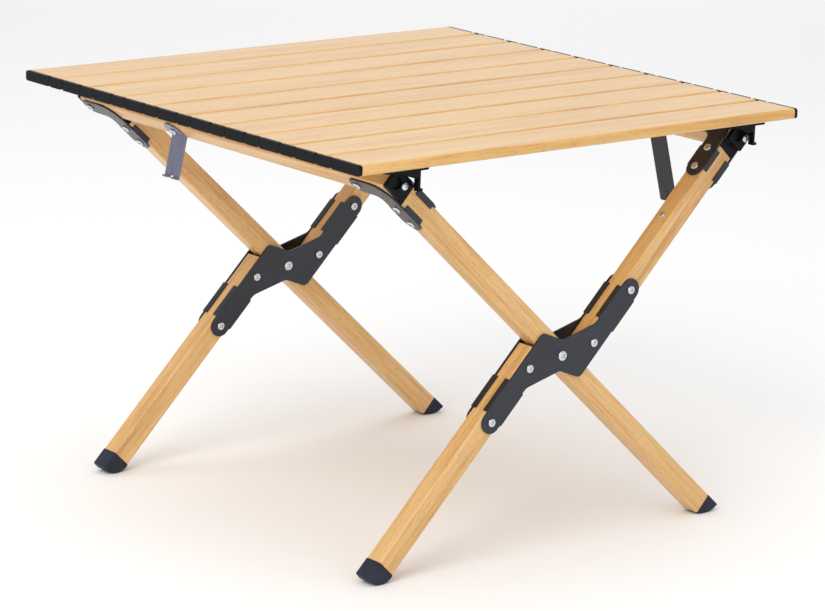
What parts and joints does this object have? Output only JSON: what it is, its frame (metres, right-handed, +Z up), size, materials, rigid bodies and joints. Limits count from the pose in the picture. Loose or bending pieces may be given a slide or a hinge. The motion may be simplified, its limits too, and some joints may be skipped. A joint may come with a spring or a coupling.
{
  "type": "folding side table",
  "caption": "Low folding side table with a roll-up slatted top on two crossed square-tube frames.",
  "frame": {"origin": "on the floor, under the middle of the table top", "axes": "+X along the slats, +Y from the near side to the far side, +Z up"},
  "size_m": [0.59, 0.5776, 0.448],
  "materials": {
    "slat": "satin wood-grain transfer film on aluminium",
    "frame_tube": "satin wood-grain transfer film on aluminium",
    "coated_steel": "fine-textured dark powder coat",
    "bright_steel": "bright plated",
    "black_plastic": "fine-textured black moulding",
    "foot_rubber": "dull dark grey moulding"
  },
  "bodies": {
    "left_frame": {"left_rail": "frame_tube", "left_leg_near": "frame_tube", "left_leg_far": "frame_tube", "corner_blocks_left": "black_plastic", "rail_caps_left": "black_plastic", "corner_plates_near_left": "coated_steel", "corner_plates_far_left": "coated_steel", "foot_near_left": "foot_rubber", "foot_far_left": "foot_rubber", "fasteners_left": "bright_steel"},
    "right_frame": {"right_rail": "frame_tube", "right_upper_leg_near": "frame_tube", "right_upper_leg_far": "frame_tube", "right_lower_leg_near": "frame_tube", "right_lower_leg_far": "frame_tube", "centre_plate_near_front": "coated_steel", "centre_plate_near_back": "coated_steel", "centre_plate_far_front": "coated_steel", "centre_plate_far_back": "coated_steel", "corner_blocks_right": "black_plastic", "rail_caps_right": "black_plastic", "corner_plates_near_right": "coated_steel", "corner_plates_far_right": "coated_steel", "foot_near_right": "foot_rubber", "foot_far_right": "foot_rubber", "fasteners_right": "bright_steel", "centre_bolts": "bright_steel"},
    "left_hook": {"frame_hook_left": "coated_steel"},
    "right_hook": {"frame_hook_right": "coated_steel"},
    "slat_01": {"slat_01": "slat", "end_caps_01": "black_plastic", "latches_far": "black_plastic"},
    "link_01": {"link_blocks_01": "black_plastic"},
    "slat_02": {"slat_02": "slat", "end_caps_02": "black_plastic"},
    "link_02": {"link_blocks_02": "black_plastic"},
    "slat_03": {"slat_03": "slat", "end_caps_03": "black_plastic"},
    "link_03": {"link_blocks_03": "black_plastic"},
    "slat_04": {"slat_04": "slat", "end_caps_04": "black_plastic"},
    "link_04": {"link_blocks_04": "black_plastic"},
    "slat_05": {"slat_05": "slat", "end_caps_05": "black_plastic"},
    "link_05": {"link_blocks_05": "black_plastic"},
    "slat_06": {"slat_06": "slat", "end_caps_06": "black_plastic"},
    "link_06": {"link_blocks_06": "black_plastic"},
    "slat_07": {"slat_07": "slat", "end_caps_07": "black_plastic"},
    "link_07": {"link_blocks_07": "black_plastic"},
    "slat_08": {"slat_08": "slat", "end_caps_08": "black_plastic"},
    "link_08": {"link_blocks_08": "black_plastic"},
    "slat_09": {"slat_09": "slat", "end_caps_09": "black_plastic"},
    "link_09": {"link_blocks_09": "black_plastic"},
    "slat_10": {"slat_10": "slat", "end_caps_10": "black_plastic", "latches_near": "black_plastic"}
  },
  "joints": [
    {"name": "frame_fold", "type": "hinge", "parent": "left_frame", "child": "right_frame", "pos_m": [0.014, 0, 0.208], "axis": [0, -1, 0], "range_deg": [0, 90]},
    {"name": "left_hook_swivel", "type": "hinge", "parent": "left_frame", "child": "left_hook", "pos_m": [-0.2235, 0.116, 0.40311], "axis": [-0.6717, 0, -0.7408], "range_deg": [0, 180]},
    {"name": "right_hook_swivel", "type": "hinge", "parent": "right_frame", "child": "right_hook", "pos_m": [0.26196, -0.118, 0.40496], "axis": [0.7181, 0, -0.6959], "range_deg": [0, 180]},
    {"name": "top_lift", "type": "slide", "parent": "left_frame", "child": "slat_01", "axis": [0, 0, 1], "range_m": [0, 0.5]},
    {"name": "roll_01a", "type": "hinge", "parent": "slat_01", "child": "link_01", "pos_m": [0, 0.2397, 0.4425], "axis": [-1, 0, 0], "range_deg": [0, 16]},
    {"name": "roll_01b", "type": "hinge", "parent": "link_01", "child": "slat_02", "pos_m": [0, 0.2243, 0.4425], "axis": [-1, 0, 0], "range_deg": [0, 16]},
    {"name": "roll_02a", "type": "hinge", "parent": "slat_02", "child": "link_02", "pos_m": [0, 0.1817, 0.4425], "axis": [-1, 0, 0], "range_deg": [0, 16]},
    {"name": "roll_02b", "type": "hinge", "parent": "link_02", "child": "slat_03", "pos_m": [0, 0.1663, 0.4425], "axis": [-1, 0, 0], "range_deg": [0, 16]},
    {"name": "roll_03a", "type": "hinge", "parent": "slat_03", "child": "link_03", "pos_m": [0, 0.1237, 0.4425], "axis": [-1, 0, 0], "range_deg": [0, 16]},
    {"name": "roll_03b", "type": "hinge", "parent": "link_03", "child": "slat_04", "pos_m": [0, 0.1083, 0.4425], "axis": [-1, 0, 0], "range_deg": [0, 16]},
    {"name": "roll_04a", "type": "hinge", "parent": "slat_04", "child": "link_04", "pos_m": [0, 0.0657, 0.4425], "axis": [-1, 0, 0], "range_deg": [0, 16]},
    {"name": "roll_04b", "type": "hinge", "parent": "link_04", "child": "slat_05", "pos_m": [0, 0.0503, 0.4425], "axis": [-1, 0, 0], "range_deg": [0, 16]},
    {"name": "roll_05a", "type": "hinge", "parent": "slat_05", "child": "link_05", "pos_m": [0, 0.0077, 0.4425], "axis": [-1, 0, 0], "range_deg": [0, 16]},
    {"name": "roll_05b", "type": "hinge", "parent": "link_05", "child": "slat_06", "pos_m": [0, -0.0077, 0.4425], "axis": [-1, 0, 0], "range_deg": [0, 16]},
    {"name": "roll_06a", "type": "hinge", "parent": "slat_06", "child": "link_06", "pos_m": [0, -0.0503, 0.4425], "axis": [-1, 0, 0], "range_deg": [0, 16]},
    {"name": "roll_06b", "type": "hinge", "parent": "link_06", "child": "slat_07", "pos_m": [0, -0.0657, 0.4425], "axis": [-1, 0, 0], "range_deg": [0, 16]},
    {"name": "roll_07a", "type": "hinge", "parent": "slat_07", "child": "link_07", "pos_m": [0, -0.1083, 0.4425], "axis": [-1, 0, 0], "range_deg": [0, 16]},
    {"name": "roll_07b", "type": "hinge", "parent": "link_07", "child": "slat_08", "pos_m": [0, -0.1237, 0.4425], "axis": [-1, 0, 0], "range_deg": [0, 16]},
    {"name": "roll_08a", "type": "hinge", "parent": "slat_08", "child": "link_08", "pos_m": [0, -0.1663, 0.4425], "axis": [-1, 0, 0], "range_deg": [0, 16]},
    {"name": "roll_08b", "type": "hinge", "parent": "link_08", "child": "slat_09", "pos_m": [0, -0.1817, 0.4425], "axis": [-1, 0, 0], "range_deg": [0, 16]},
    {"name": "roll_09a", "type": "hinge", "parent": "slat_09", "child": "link_09", "pos_m": [0, -0.2243, 0.4425], "axis": [-1, 0, 0], "range_deg": [0, 16]},
    {"name": "roll_09b", "type": "hinge", "parent": "link_09", "child": "slat_10", "pos_m": [0, -0.2397, 0.4425], "axis": [-1, 0, 0], "range_deg": [0, 16]}
  ],
  "couplings": [
    {"joint": "top_lift", "follows": "frame_fold", "m_per_rad": 0.3183},
    {"joint": "roll_01b", "follows": "roll_01a", "ratio": 1},
    {"joint": "roll_02a", "follows": "roll_01a", "ratio": 1},
    {"joint": "roll_02b", "follows": "roll_01a", "ratio": 1},
    {"joint": "roll_03a", "follows": "roll_01a", "ratio": 1},
    {"joint": "roll_03b", "follows": "roll_01a", "ratio": 1},
    {"joint": "roll_04a", "follows": "roll_01a", "ratio": 1},
    {"joint": "roll_04b", "follows": "roll_01a", "ratio": 1},
    {"joint": "roll_05a", "follows": "roll_01a", "ratio": 1},
    {"joint": "roll_05b", "follows": "roll_01a", "ratio": 1},
    {"joint": "roll_06a", "follows": "roll_01a", "ratio": 1},
    {"joint": "roll_06b", "follows": "roll_01a", "ratio": 1},
    {"joint": "roll_07a", "follows": "roll_01a", "ratio": 1},
    {"joint": "roll_07b", "follows": "roll_01a", "ratio": 1},
    {"joint": "roll_08a", "follows": "roll_01a", "ratio": 1},
    {"joint": "roll_08b", "follows": "roll_01a", "ratio": 1},
    {"joint": "roll_09a", "follows": "roll_01a", "ratio": 1},
    {"joint": "roll_09b", "follows": "roll_01a", "ratio": 1}
  ]
}
